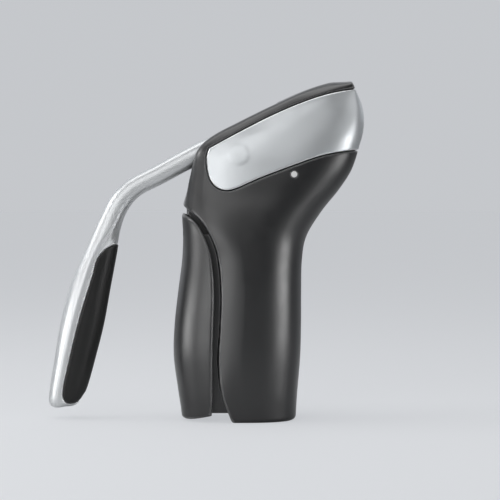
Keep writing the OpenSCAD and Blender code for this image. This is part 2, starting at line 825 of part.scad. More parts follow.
module guide_rods() {
    color(steel)
        for (side = [-1, 1])
            upright(rod_x, side * rod_y, rod_foot_z, rod_d / 2, rod_boss_z + rod_depth - rod_foot_z);
}
module neck_stop() {
    color(dark_grey)
        difference() {
            upright(0, 0, stop_z, pad_r, stop_t);
            upright(0, 0, 0, guide_r, far);
            across(far) left_of_body(pad_end_gap);
        }
}
// The guide's pins lie midway between the worm's turns
guide_pins = [[90, worm_tip_z - worm_pitch / 4], [270, worm_tip_z + worm_pitch / 4]];
module worm_guide() {
    color(brass) {
        difference() {
            upright(0, 0, stop_z, guide_r, tube_top - stop_z);
            upright(0, 0, 0, guide_bore_r, far);
        }
        for (p = guide_pins)
            rotate([0, 0, p[0]]) translate([worm_r - 1, 0, p[1]]) rotate([0, 90, 0])
                cylinder(r = guide_pin_r, h = guide_r - worm_r);
    }
}
module body_neck_pad() {
    color(rubber)
        difference() {
            upright(0, 0, pad_z, pad_r, neck_depth - pad_z);
            upright(0, 0, -1, neck_r, far);
            across(far) left_of_body(pad_end_gap);
            for (side = [-1, 1])
                wheel_cuts(body_wheel[0], side * body_wheel[1]);
        }
}
module jaw_neck_pad() {
    color(rubber)
        difference() {
            intersection() {
                upright(jaw_pad_x, 0, pad_z + 5, pad_r, neck_depth - pad_z - 6);
                translate([-far, -jaw_pad_half_w, 0]) cube([far + jaw_edge_x - 0.2, 2 * jaw_pad_half_w, far]);
            }
            upright(jaw_pad_x, 0, -1, neck_r + 0.2, far);
            for (side = [-1, 1])
                wheel_cuts(jaw_wheel[0], side * jaw_wheel[1]);
        }
}
module jaw_hinge_pin() {
    color(steel) cross_bar(hinge_axis, hinge_pin_d / 2, -hinge_pin_half, hinge_pin_half);
}

spring_steps = 10;
spring_turns = 6;
spring_end_gap = 0.1;
spring_end_x = edge_mid[0] - 0.3;
spring_len = spring_end_x - spring_cup_x - spring_wire - 2 * spring_end_gap;
module jaw_spring() {
    color(steel)
        translate([spring_cup_x + spring_wire / 2 + spring_end_gap, 0, spring_z])
            rotate([0, 90, 0])
                skin(coil_rings(spring_d / 2 - spring_wire / 2, spring_wire / 2, spring_len / spring_turns,
                    0, 0, spring_turns, spring_steps, 6, 0));
}

module foil_wheel(at, side) {
    color(steel)
        translate([at[0], side * at[1], wheel_z])
            rotate_extrude()
                polygon([
                    [wheel_pin_d / 2 + run_fit, -wheel_t / 2], [wheel_r - 1.4, -wheel_t / 2], [wheel_r, 0],
                    [wheel_r - 1.4, wheel_t / 2], [wheel_pin_d / 2 + run_fit, wheel_t / 2]
                ]);
}
module front_body_foil_wheel() foil_wheel(body_wheel, -1);
module rear_body_foil_wheel() foil_wheel(body_wheel, 1);
module front_jaw_foil_wheel() foil_wheel(jaw_wheel, -1);
module rear_jaw_foil_wheel() foil_wheel(jaw_wheel, 1);
module wheel_pins(at) {
    color(steel)
        for (side = [-1, 1])
            upright(at[0], side * at[1], wheel_z - wheel_pin_h / 2, wheel_pin_d / 2, wheel_pin_h);
}
module body_wheel_pins() wheel_pins(body_wheel);
module jaw_wheel_pins() wheel_pins(jaw_wheel);

module shell_screws() {
    color(steel)
        for (s = screws) {
            cross_bar(s, screw_d / 2, -screw_grip, s[2]);
            cross_bar(s, screw_head_d / 2, s[2], s[2] + screw_head_t);
        }
}

front_body_shell();
rear_body_shell();
head_cover();
indicator_dots();
squeeze_jaw();
lever_arm();
lever_grip();
lever_gear();
lever_rivets();
lever_axle();
idler_gear();
idler_axle();
carriage();
drive_racks();
worm();
worm_bush();
worm_collar();
guide_rods();
neck_stop();
worm_guide();
body_neck_pad();
jaw_neck_pad();
jaw_hinge_pin();
jaw_spring();
front_body_foil_wheel();
rear_body_foil_wheel();
front_jaw_foil_wheel();
rear_jaw_foil_wheel();
body_wheel_pins();
jaw_wheel_pins();
shell_screws();
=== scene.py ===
"""Looks of the vertical lever corkscrew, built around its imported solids.

The moulded pieces are drawn again as smooth distance fields with rounded edges.
Lengths are millimetres until a mesh is made, and metres in the studio.
"""

import json
import math

import bpy
import numpy as np
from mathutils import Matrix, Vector


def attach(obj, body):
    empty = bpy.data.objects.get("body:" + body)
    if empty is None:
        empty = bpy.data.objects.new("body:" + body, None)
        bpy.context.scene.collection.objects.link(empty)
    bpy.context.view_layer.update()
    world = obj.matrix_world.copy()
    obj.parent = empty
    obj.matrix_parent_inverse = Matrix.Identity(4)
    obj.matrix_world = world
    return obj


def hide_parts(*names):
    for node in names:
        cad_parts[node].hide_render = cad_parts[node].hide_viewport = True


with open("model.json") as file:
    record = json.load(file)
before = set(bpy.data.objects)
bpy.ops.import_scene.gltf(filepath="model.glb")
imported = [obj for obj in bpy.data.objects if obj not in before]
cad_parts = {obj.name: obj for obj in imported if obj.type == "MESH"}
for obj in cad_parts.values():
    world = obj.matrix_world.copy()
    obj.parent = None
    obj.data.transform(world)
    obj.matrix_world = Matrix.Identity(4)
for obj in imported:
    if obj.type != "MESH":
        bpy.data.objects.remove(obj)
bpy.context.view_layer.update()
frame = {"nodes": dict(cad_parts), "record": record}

MM = 0.001
STEP = 0.5
# Ends of outlines and cuts that run out of a piece
FAR, BELOW, BEYOND = 300, -5, 40

# Sizes shared with the solids, with X and Z of axes, foot and dot, and X and Y of wheels
BODY_LEFT, BODY_RIGHT, NOSE = 40.3, 39.7, 78.6
HALF_D, HEAD_D = 27.0, 22.5
WALL, COVER_T, BASE_T = 2.2, 1.8, 2.8
PAD_R, TUBE_R, TUBE_TOP, LEDGE_Z, NECK_DEPTH = 18.2, 20.4, 57.4, 50.4, 46.4
GROOVE = 4.0
GRIP_W, ARM_W = 11.0, 8.5
LEVER_AXIS, IDLER_AXIS, HINGE_AXIS = (4, 162), (26, 128.593), (-23.5, 133)
LUG_FOOT, LUG_R, LUG_HALF = (-29.5, 117), 4.6, 7.0
JAW_PAD_X, JAW_LIFT = -3.05, 0.6
BODY_WHEEL, JAW_WHEEL, WHEEL_Z = (16.22, 11.36), (-20.65, 8.37), 36
# X and Z of each screw, and the Y of its head's seat
SCREWS = ((29, 14, 14), (29, 75, 14), (50, 150, 13.5), (59, 184, 10.5))
DOT_AT, DOT_R, DOT_FACE = (34.2, 153.8), 1.9, 22.95

# Shell skins: posts and seats for the pieces inside
POSTS = ((LEVER_AXIS, 7.5), (IDLER_AXIS, 6.5), (HINGE_AXIS, 4.5))
POST_FACE, SCREW_POST_R, SCREW_HEAD_R = 13, 4.2, 3.4
GUIDE_SEAT_R, WHEEL_ROOM_R, WHEEL_ROOM = 9.05, 5, 1
LUG_ROOM, LUG_ROOM_HALF = 1.1, 7.5
DOT_GAP, DOT_T = 0.15, 1
COVER_GAP, COVER_SINK_Z, COVER_SINK = 0.6, 126, 14
SEAM_GAP = 0.04

# Shell skins: slot of the lever and the recess below it
SLOT_HALF, SLOT_REACH, SLOT_FLOOR, SLOT_RISE = 9.3, 24, 153, 20
LEAD_IN_DEPTH, LEAD_IN_Z, LEAD_IN_END = 1.5, (130, 146), -10

# Shell skins: ridge along the slot's cheeks, and the fall of the surface towards the groove
RIDGE_HALF, RIDGE_TAPER, RIDGE_TAPER_X = 13.4, 4.5, (28, 62)
RIDGE_SINK, RIDGE_SINK_Z = 5, (140, 176)
RIDGE_NOSE_SINK, RIDGE_NOSE_X = 3, (56, 70)
RIDGE_SLOPE, RIDGE_SLOPE_LENGTH, RIDGE_DEPTH = 0.6, 1.17, 6
FALL, FALL_WIDTH, FALL_POWER = 2.2, 15, 1.3
FALL_LOW_Z, FALL_HIGH_Z, FALL_MARGIN = (4, 45), (98, 126), 2

# Shell skins: lip and web behind the groove
LIP_OUT, LIP_HALF, LIP_MID_Z, LIP_HALF_Z = 16.6, 1.2, 61, 55.6
WEB_OUT, WEB_MID_Z, WEB_HALF_Z = 10.3, 115, 17
LIP_ROOT, LIP_REACH, FOOT_REACH, FOOT_Z = 1.1, 6.4, 6, (8, 26)
LIP_UNDER_JAW, LIP_UNDER_SKIN, JAW_MARGIN = 3.4, 1.6, 0.4

# Cover skin
BOSS_AT, BOSS_R, BOSS_FOOT_R, BOSS_RISE = (0, 166), 4.8, 7.6, 0.14
COVER_BACK_GAP = 0.1

# Jaw skin
PAD_BLOCK_X, PAD_BLOCK_HALF = -27, 14
WHEEL_POST_R, WHEEL_POST_Z = 6.3, (31.5, 40.5)
LIP_ROOM, LIP_TRAVEL = 0.6, 3.8
SPRING_SEAT, SPRING_SEAT_R, SPRING_SEAT_X = (0, 82), 5, (-30, 0)
HINGE_BORE_R = 2.05

# Lever skins
LEVER_TRIM = 0.12
TIP_Z, TIP_X, TIP_SLOPE = 7.2, -110, 0.06
FACET_SLOPE, FACET_WIDTH, FACET_Y = 0.42, 5, (1, 6)
TANG_HALF, RIVET_R, RIVETS = 5, 2.02, ((-9, 174), (-17, 170))
GRIP_PROUD, GRIP_GAP = 0.5, 0.15

# Roundings
BASE_ROUND, EDGE_ROUND, JAW_ROUND, RIDGE_ROUND, RIDGE_BLEND = 2.6, 1.4, 2, 2, 2.5
CROWN_ROUND, COVER_ROUND, POCKET_ROUND, LUG_ROUND = 0.9, 0.8, 0.7, 0.6
CUT_ROUND, PAD_ROUND, SEAM_ROUND, HOLE_ROUND = 0.4, 0.3, 0.25, 0.2
TIP_ROUND, ROOT_ROUND, GRIP_ROUND, GRIP_SEAT_ROUND = 3.2, 1.2, 0.9, 0.5

# Rounds of averaging
BODY_SOFT, LEVER_SOFT, FACET_SOFT, EVEN_ROUNDS = 4, 6, 12, 4

# Outer bend of the field per mm at which edge wear and the painted edge highlight start, and how much more
# makes them full
WEAR_AND_HIGHLIGHT_FROM, WEAR_AND_HIGHLIGHT_SPAN = 0.36, 0.3


def smooth(points, steps):
    """Even spline through the points, by the same rule as the solids."""
    p = np.asarray(points, float)
    q = np.vstack([2 * p[0] - p[1], p, 2 * p[-1] - p[-2]])
    t = np.arange(steps)[:, None] / steps
    runs = []
    for a, b, c, d in zip(q, q[1:], q[2:], q[3:]):
        runs.append((2 * b + (c - a) * t + (2 * a - 5 * b + 4 * c - d) * t**2
                     + (3 * b - a - 3 * c + d) * t**3) / 2)
    return np.vstack(runs + [p[-1:]])


# Rungs: left X and Z, right X and Z, half depth, squareness
BODY_RUNGS = smooth([
    [6.0 - BODY_LEFT, -6, BODY_RIGHT - 3.6, -6, HALF_D - 2.1, 2.6],
    [4.6 - BODY_LEFT, 6, BODY_RIGHT - 3.0, 6, HALF_D - 1.5, 2.6],
    [2.8 - BODY_LEFT, 18, BODY_RIGHT - 2.2, 18, HALF_D - 0.6, 2.6],
    [-BODY_LEFT, 40, BODY_RIGHT - 0.5, 40, HALF_D, 2.6],
    [0.6 - BODY_LEFT, 60, BODY_RIGHT, 60, HALF_D, 2.6],
    [2.8 - BODY_LEFT, 80, BODY_RIGHT, 80, HALF_D, 2.6],
    [5.3 - BODY_LEFT, 100, BODY_RIGHT + 0.4, 100, HALF_D - 0.4, 2.6],
    [5.9 - BODY_LEFT, 115, BODY_RIGHT + 3.2, 115, HALF_D - 0.9, 2.6],
    [5.3 - BODY_LEFT, 130, BODY_RIGHT + 12.6, 130.5, HALF_D - 1.8, 2.7],
    [6.9 - BODY_LEFT, 142, BODY_RIGHT + 22.6, 143, HEAD_D + 1.4, 2.8],
    [9.6 - BODY_LEFT, 155, NOSE - 8.9, 154, HEAD_D + 0.6, 2.9],
    [14.4 - BODY_LEFT, 168, NOSE - 5.2, 163, HEAD_D, 3],
    [-16, 177, NOSE - 3, 171, HEAD_D - 0.9, 3],
    [0, 185.5, NOSE - 1.2, 177, HEAD_D - 2, 3],
    [20, 195.4, NOSE, 184, HEAD_D - 3.6, 3],
    [40, 204.4, NOSE - 0.2, 191, HEAD_D - 5.4, 3],
    [57, 209.9, NOSE - 1.9, 198.5, HEAD_D - 8, 3],
    [NOSE - 7.8, 211.6, NOSE - 5, 205.8, HEAD_D - 11, 3],
], 8)
LEVER_RUNGS = smooth([
    [-117.4, 4, -103.4, 4, GRIP_W - 2.6, 2.4],
    [-119.2, 11, -98.4, 12, GRIP_W - 1.4, 2.4],
    [-118.2, 21, -94.6, 20, GRIP_W - 0.4, 2.4],
    [-115, 40, -89, 40, GRIP_W, 2.4],
    [-111.6, 60, -84, 60, GRIP_W, 2.4],
    [-105.6, 83, -80, 82, GRIP_W - 0.4, 2.4],
    [-96.6, 105, -76, 103, GRIP_W - 1.4, 2.4],
    [-88, 124, -73.4, 118, ARM_W + 0.2, 2.5],
    [-79.6, 140, -69.2, 130, ARM_W, 2.6],
    [-69, 150.6, -61, 139.8, ARM_W, 2.6],
    [-54, 158.6, -46.4, 147.4, ARM_W, 2.6],
    [-38, 167.4, -30.4, 156, ARM_W, 2.6],
    [-22, 175.6, -14.6, 163.6, ARM_W, 2.6],
    [-8.4, 180.2, -1.2, 170.8, ARM_W - 1, 2.6],
], 8)

# Outlines in X and Z; the one of the body's edge holds what lies to the left of the body
BODY_EDGE = np.vstack([smooth([
    [-41, 139], [-34.2, 134], [-22, 123.2], [-13.6, 105.5], [-10.9, 82],
    [-11.4, 60], [-12.5, 38], [-10.4, 18], [-4.2, 0.8], [-3.4, -3],
], 6), [[-3.4, -FAR], [-FAR, -FAR], [-FAR, 139]]])
JAW_EDGE = np.vstack([smooth([
    [-44, 136.6], [-34.6, 129.8], [-25, 122.6], [-17.2, 104.5], [-10.9 - GROOVE, 82],
    [-11.4 - GROOVE, 60], [-11.8 - GROOVE, 38], [-11.8 - GROOVE, 14],
], 6), [[-16.5, 4.2], [-32, JAW_LIFT], [-FAR, JAW_LIFT], [-FAR, 137]]])
COVER_EDGE = np.vstack([smooth([
    [-18.2, 169.6], [-2, 178.4], [19, 189.2], [40, 198.2], [57, 203.6], [74, 206.4], [NOSE + 12, 207],
], 6), smooth([
    [NOSE + 12, 168.6], [74, 168.8], [53, 165.8], [32, 158.8], [12, 151.2], [-1, 145.4], [-8, 144],
    [-13.6, 146], [-17.4, 150.8], [-19.2, 157.6], [-19.6, 164.4],
], 6)])
GRIP_EDGE = np.vstack([smooth([
    [-70, 111], [-80.8, 108], [-87.6, 101.2], [-91, 90], [-99.2, 63], [-106.6, 33],
    [-109.6, 17], [-108.4, 11.4], [-104.4, 9.7], [-99.6, 11.4], [-96.2, 15.6], [-90, 22],
], 6), [[-60, 60]]])
FACET_EDGE = np.vstack([smooth([
    [-56, 146], [-62.5, 139.5], [-70, 130.5], [-78.5, 120], [-86.5, 110.5], [-92, 100.5], [-96, 88],
    [-103.8, 62], [-110.6, 33], [-113.4, 17], [-112, 8], [-106, 4],
], 6), [[-60, 4]]])
TANG = np.array([[-5, 164], [-20, 165.6], [-22.4, 170.4], [-7, 178.6], [11, 169]], float)


# Fields: signed distances on an even grid, negative inside
class Grid:
    """Even grid of points, with X along the first index, Y the second and Z the third."""

    def __init__(self, x_span, y_span, z_span, step):
        spans = (x_span, y_span, z_span)
        self.low = np.array([low for low, high in spans], float)
        self.step = step
        x, y, z = (np.arange(low, high + step, step) for low, high in spans)
        self.x, self.y, self.z = x[:, None, None], y[None, :, None], z[None, None, :]
        self.flat_x, self.flat_z = np.meshgrid(x, z, indexing="ij")


def outline_field(outline, grid):
    """Signed distance in the X-Z plane to a closed outline, one layer thick in Y."""
    x, z = grid.flat_x, grid.flat_z
    nearest = np.full(x.shape, 1e9)
    inside = np.zeros(x.shape, bool)
    for (ax, az), (bx, bz) in zip(outline, np.roll(outline, -1, 0)):
        dx, dz = bx - ax, bz - az
        along = np.clip(((x - ax) * dx + (z - az) * dz) / max(dx * dx + dz * dz, 1e-9), 0, 1)
        nearest = np.minimum(nearest, (x - ax - along * dx) ** 2 + (z - az - along * dz) ** 2)
        if az != bz:
            inside ^= ((az > z) != (bz > z)) & (x < ax + (z - az) * dx / dz)
    return (np.sqrt(nearest) * np.where(inside, -1, 1))[:, None, :]


def sample(values, grid, x, z):
    """Values of an X-Z array at other points, by linear steps."""
    i = np.clip((x - grid.low[0]) / grid.step, 0, values.shape[0] - 1.001)
    k = np.clip((z - grid.low[2]) / grid.step, 0, values.shape[1] - 1.001)
    i0, k0 = i.astype(int), k.astype(int)
    u, v = i - i0, k - k0
    return ((values[i0, k0] * (1 - v) + values[i0, k0 + 1] * v) * (1 - u)
            + (values[i0 + 1, k0] * (1 - v) + values[i0 + 1, k0 + 1] * v) * u)


def silhouette(rungs):
    """Closed outline round the rungs' ends."""
    return np.vstack([rungs[:, 0:2], rungs[::-1, 2:4]])


def rung_values(rungs, grid):
    """For each X-Z point: room left along its rung, half depth and squareness."""
    x, z = grid.flat_x.ravel(), grid.flat_z.ravel()
    span = rungs[:, 2:4] - rungs[:, 0:2]
    reach = np.linalg.norm(span, axis=1)
    run, rise = x[None] - rungs[:, 0:1], z[None] - rungs[:, 1:2]
    offset = (rise * span[:, :1] - run * span[:, 1:]) / reach[:, None]
    row = np.clip((offset > 0).sum(0) - 1, 0, len(rungs) - 2)
    column = np.arange(len(x))
    below, above = offset[row, column], offset[row + 1, column]
    share = np.clip(below / np.where(below == above, 1, below - above), 0, 1)[:, None]
    here = rungs[row] * (1 - share) + rungs[row + 1] * share
    d = here[:, 2:4] - here[:, 0:2]
    u = 2 * ((x - here[:, 0]) * d[:, 0] + (z - here[:, 1]) * d[:, 1]) / (d**2).sum(1) - 1
    room = 1 - np.abs(u) ** here[:, 5]
    return [a.reshape(grid.flat_x.shape) for a in (room, here[:, 4], here[:, 5])]


def form_field(rungs, grid):
    """Signed distance to the form that the rungs span, good near its surface.

    Outside the silhouette the values are mirrored from inside it, so that the slope stays even.
    """
    least_fall, least_slope = 0.02, 0.008
    room, depth, square = rung_values(rungs, grid)
    edge = outline_field(silhouette(rungs), grid)[:, 0, :]
    gx, gz = np.gradient(edge, grid.step)
    mirror_x, mirror_z = grid.flat_x - 2 * edge * gx, grid.flat_z - 2 * edge * gz
    outside = edge > 0
    turned = -sample(np.where(outside, 0, room), grid, mirror_x, mirror_z)
    room = np.where(outside, np.minimum(turned, -least_fall * edge), np.maximum(room, 0))
    depth = np.where(outside, sample(depth, grid, mirror_x, mirror_z), depth)
    square = np.where(outside, sample(square, grid, mirror_x, mirror_z), square)
    room, depth, square = (a[:, None, :].astype(np.float32) for a in (room, depth, square))
    y = np.abs(grid.y).astype(np.float32)
    level = ((y / depth) ** square + 1 - room) ** (1 / square) - 1
    slope = np.sqrt(sum(g**2 for g in np.gradient(level, grid.step)))
    return level / np.maximum(slope, least_slope)


def end_plane(rungs, grid):
    """Distance beyond the last rung's plane."""
    x0, z0, x1, z1 = rungs[-1][:4]
    reach = math.hypot(x1 - x0, z1 - z0)
    return ((grid.z - z0) * (x1 - x0) - (grid.x - x0) * (z1 - z0)) / reach + 0 * grid.y


def soften(field, rounds):
    """Field averaged with its neighbours, which takes out small kinks."""
    field = np.array(field, np.float32)
    for _ in range(rounds):
        for axis in range(3):
            line = np.moveaxis(field, axis, 0)
            line[1:-1] = (line[:-2] + 2 * line[1:-1] + line[2:]) / 4
    return field


def fade(values, start, end):
    """Soft step from 0 at start to 1 at end."""
    t = np.clip((values - start) / (end - start), 0, 1)
    return t * t * (3 - 2 * t)


def both(a, b, r=0):
    """What lies in both fields, with the edge between them rounded by r."""
    if not r:
        return np.maximum(a, b)
    corner = np.sqrt(np.maximum(a + r, 0) ** 2 + np.maximum(b + r, 0) ** 2)
    return np.minimum(np.maximum(a, b), -r) + corner


def either(a, b, r=0):
    """What lies in one field or the other, with the corner between them filled by r."""
    return -both(-a, -b, r)


def without(a, b, r=0):
    """What lies in the first field and not in the second."""
    return both(a, -b, r)


def slab(values, low, high):
    """Distance beyond the span from low to high."""
    return np.abs(values - (low + high) / 2) - (high - low) / 2


def bar_x(grid, at, r, low, high):
    """Round bar along X, at a Y and Z."""
    return np.maximum(np.hypot(grid.y - at[0], grid.z - at[1]) - r, slab(grid.x, low, high))


def bar_y(grid, at, r, low, high):
    """Round bar along Y, at an X and Z."""
    return np.maximum(np.hypot(grid.x - at[0], grid.z - at[1]) - r, slab(grid.y, low, high))


def bar_z(grid, at, r, low, high):
    """Round bar along Z, at an X and Y."""
    return np.maximum(np.hypot(grid.x - at[0], grid.y - at[1]) - r, slab(grid.z, low, high))


def box(grid, low, high):
    """Plain box between two corners."""
    x, y, z = (slab(a, p, q) for a, p, q in zip((grid.x, grid.y, grid.z), low, high))
    return np.maximum(np.maximum(x, y), z)


def strip_field(grid, a, b, r):
    """Distance in the X-Z plane to a line from a to b, less r."""
    dx, dz = b[0] - a[0], b[1] - a[1]
    along = np.clip(((grid.x - a[0]) * dx + (grid.z - a[1]) * dz) / (dx * dx + dz * dz), 0, 1)
    return np.hypot(grid.x - a[0] - along * dx, grid.z - a[1] - along * dz) - r


# Meshes of fields, by one point in each cell that the surface crosses
CORNERS = [(i, j, k) for i in (0, 1) for j in (0, 1) for k in (0, 1)]
CELL_EDGES = [(a, b) for a in range(8) for b in range(a + 1, 8)
              if sum(p != q for p, q in zip(CORNERS[a], CORNERS[b])) == 1]


def cell_points(field):
    """One point in each cell that the surface crosses, and the cells' numbers."""
    inside = field < 0
    n = np.array(field.shape) - 1
    part = [inside[i:i + n[0], j:j + n[1], k:k + n[2]] for i, j, k in CORNERS]
    cells = np.argwhere(np.logical_or.reduce(part) & ~np.logical_and.reduce(part))
    values = [field[tuple((cells + c).T)] for c in CORNERS]
    total, count = np.zeros(cells.shape), np.zeros(len(cells))
    for a, b in CELL_EDGES:
        cut = (values[a] < 0) != (values[b] < 0)
        share = np.where(cut, values[a] / np.where(cut, values[a] - values[b], 1), 0)[:, None]
        point = np.array(CORNERS[a]) + share * (np.array(CORNERS[b]) - np.array(CORNERS[a]))
        total += np.where(cut[:, None], point, 0)
        count += cut
    return cells + total / count[:, None], cells


def cell_quads(field, cells):
    """Faces between the cells round each grid edge that the surface crosses."""
    number = np.full(np.array(field.shape) - 1, -1)
    number[tuple(cells.T)] = np.arange(len(cells))
    inside = field < 0
    quads = []
    for axis in range(3):
        u, v = (axis + 1) % 3, (axis + 2) % 3
        first = np.take(inside, range(field.shape[axis] - 1), axis)
        last = np.take(inside, range(1, field.shape[axis]), axis)
        edges = np.argwhere(first != last)
        edges = edges[(edges[:, u] > 0) & (edges[:, v] > 0)]
        edges = edges[(edges[:, u] < number.shape[u]) & (edges[:, v] < number.shape[v])]
        ring = []
        for du, dv in ((1, 1), (0, 1), (0, 0), (1, 0)):
            at = edges.copy()
            at[:, u] -= du
            at[:, v] -= dv
            ring.append(number[tuple(at.T)])
        ring = np.stack(ring, 1)
        outward = first[tuple(edges.T)]
        quads.append(np.where(outward[:, None], ring, ring[:, ::-1]))
    quads = np.vstack(quads)
    return quads[(quads >= 0).all(1)]


def edge_wear_and_highlight(field, cells, step):
    """Share of edge wear and painted edge highlight at each surface point, 1 on tightly rounded outer edges.

    Only the cell's outer corners count, because thin walls bend the field inside them.
    """
    bend = np.zeros_like(field)
    for axis in range(3):
        line, out = np.moveaxis(field, axis, 0), np.moveaxis(bend, axis, 0)
        out[1:-1] += (line[:-2] - 2 * line[1:-1] + line[2:]) / step**2
    total, count = np.zeros(len(cells)), np.zeros(len(cells))
    for corner in CORNERS:
        at = tuple((cells + corner).T)
        total += np.where(field[at] >= 0, bend[at], 0)
        count += field[at] >= 0
    return np.clip((total / count - WEAR_AND_HIGHLIGHT_FROM) / WEAR_AND_HIGHLIGHT_SPAN, 0, 1)


def even_out(points, quads, rounds):
    """Points drawn towards their neighbours and back again, which takes out the grid's ripple."""
    draw_in, draw_back = 0.5, -0.52
    start = quads.ravel()
    end = np.roll(quads, -1, 1).ravel()
    count = np.bincount(start, minlength=len(points))
    for share in (draw_in, draw_back) * rounds:
        total = [np.bincount(start, points[end, axis], len(points)) for axis in range(3)]
        mean = np.stack(total, 1) / np.maximum(count, 1)[:, None]
        points = np.where(count[:, None] > 0, points + share * (mean - points), points)
    return points


def surface(name, field, grid):
    """Mesh object of a field's surface, closed where it would leave the grid."""
    outside = 0.1
    field = np.ascontiguousarray(field, dtype=np.float32)
    for axis in range(3):
        layer = np.moveaxis(field, axis, 0)
        layer[0] = np.maximum(layer[0], outside)
        layer[-1] = np.maximum(layer[-1], outside)
    points, cells = cell_points(field)
    quads = cell_quads(field, cells)
    points = (grid.low + even_out(points, quads, EVEN_ROUNDS) * grid.step) * MM
    mesh = bpy.data.meshes.new(name)
    mesh.vertices.add(len(points))
    mesh.vertices.foreach_set("co", points.ravel())
    mesh.loops.add(quads.size)
    mesh.loops.foreach_set("vertex_index", quads.ravel().astype(np.int32))
    mesh.polygons.add(len(quads))
    mesh.polygons.foreach_set("loop_start", np.arange(0, quads.size, 4, dtype=np.int32))
    mesh.polygons.foreach_set("use_smooth", np.ones(len(quads), bool))
    mesh.update(calc_edges=True)
    mesh.validate()
    # Edge share for wear, and for a painted highlight line along the black plastic's rounded edges
    wear_and_highlight = mesh.attributes.new("wear_and_highlight", "FLOAT", "POINT")
    wear_and_highlight.data.foreach_set("value", edge_wear_and_highlight(field, cells, grid.step))
    piece = bpy.data.objects.new(name, mesh)
    bpy.context.scene.collection.objects.link(piece)
    return piece


# Body shells
def groove_lip(grid, form, edge, room, travel):
    """Lip and inner web on the body that close the view through the groove.

    edge is the distance from the body's edge. room is left round them, and travel lengthens them to the left.
    """
    side = np.abs(grid.y)
    foot = FOOT_REACH * (1 - fade(grid.z, *FOOT_Z))
    reach = np.maximum(edge - LIP_ROOT - room, -LIP_REACH - foot - room - travel - edge)
    lip = np.maximum(np.abs(side - LIP_OUT) - LIP_HALF - room, np.abs(grid.z - LIP_MID_Z) - LIP_HALF_Z - room)
    web = np.maximum(np.abs(side - WEB_OUT) - LIP_HALF - room, np.abs(grid.z - WEB_MID_Z) - WEB_HALF_Z - room)
    behind_jaw = outline_field(JAW_EDGE, grid) < JAW_MARGIN
    below = np.where(behind_jaw, LIP_UNDER_JAW - 2 * room, LIP_UNDER_SKIN)
    return np.maximum(np.maximum(reach, np.minimum(lip, web)), form + below)


def cheek_ridge(grid):
    """Ridge as high as the silhouette, so that both cheeks of the slot keep the head's top line."""
    outline = outline_field(silhouette(BODY_RUNGS), grid) + RIDGE_SINK * (1 - fade(grid.z, *RIDGE_SINK_Z))
    outline = outline + RIDGE_NOSE_SINK * fade(grid.x, *RIDGE_NOSE_X)
    half = RIDGE_HALF - RIDGE_TAPER * fade(grid.x, *RIDGE_TAPER_X)
    rise = RIDGE_SLOPE * np.maximum(outline, -RIDGE_DEPTH)
    face = (np.abs(grid.y) - half + rise) / RIDGE_SLOPE_LENGTH
    return both(outline, face, RIDGE_ROUND)


def body_form(grid):
    """Outer form of body and head, which falls away towards the groove."""
    form = either(soften(form_field(BODY_RUNGS, grid), BODY_SOFT), cheek_ridge(grid), RIDGE_BLEND)
    form = both(form, end_plane(BODY_RUNGS, grid), CROWN_ROUND)
    edge = outline_field(BODY_EDGE, grid)
    fall = FALL * np.clip(1 - edge / FALL_WIDTH, 0, 1) ** FALL_POWER
    fall = fall * fade(grid.z, *FALL_LOW_Z) * (1 - fade(grid.z, *FALL_HIGH_Z))
    return form + np.where(edge > -FALL_MARGIN, fall, 0)


def shell_hollow(grid, form, edge):
    """Space inside the shells, less the tube, posts and screw posts that stand in it."""
    side = np.abs(grid.y)
    under = WALL + COVER_T * np.clip((grid.z - COVER_SINK_Z) / COVER_SINK, 0, 1)
    hollow = both(form + under, BASE_T - grid.z)
    hollow = both(hollow, WALL - edge)
    hollow = without(hollow, bar_z(grid, (0, 0), TUBE_R, -1, TUBE_TOP))
    for at, r in POSTS:
        post = np.maximum(np.hypot(grid.x - at[0], grid.z - at[1]) - r, POST_FACE - side)
        hollow = without(hollow, post)
    for x, z, _ in SCREWS:
        hollow = both(hollow, SCREW_POST_R - np.hypot(grid.x - x, grid.z - z))
    return hollow


def slot_field(grid):
    """Slot that the lever swings in, with a floor that rises to the right."""
    rise = np.clip((grid.x + SLOT_REACH) / (2 * SLOT_REACH), 0, 1)
    floor = SLOT_FLOOR + SLOT_RISE * rise
    return np.maximum(np.maximum(np.abs(grid.y) - SLOT_HALF, floor - grid.z), grid.x - SLOT_REACH)


def lead_in_field(grid, form):
    """Recess below the slot, as deep as keeps the head's left outline free of a step."""
    depth = LEAD_IN_DEPTH * fade(grid.z, *LEAD_IN_Z)
    return np.maximum(np.maximum(np.abs(grid.y) - SLOT_HALF, -(form + depth)), grid.x - LEAD_IN_END)


def wheel_room(grid, x, y):
    """Slit that a foil wheel turns in."""
    return bar_z(grid, (x, y), WHEEL_ROOM_R, WHEEL_Z - WHEEL_ROOM, WHEEL_Z + WHEEL_ROOM)


def dot_seat(grid):
    """Seats of the indicator dots on both sides."""
    reach = np.hypot(grid.x - DOT_AT[0], grid.z - DOT_AT[1]) - DOT_R - DOT_GAP
    return np.maximum(reach, DOT_FACE - DOT_T - np.abs(grid.y))


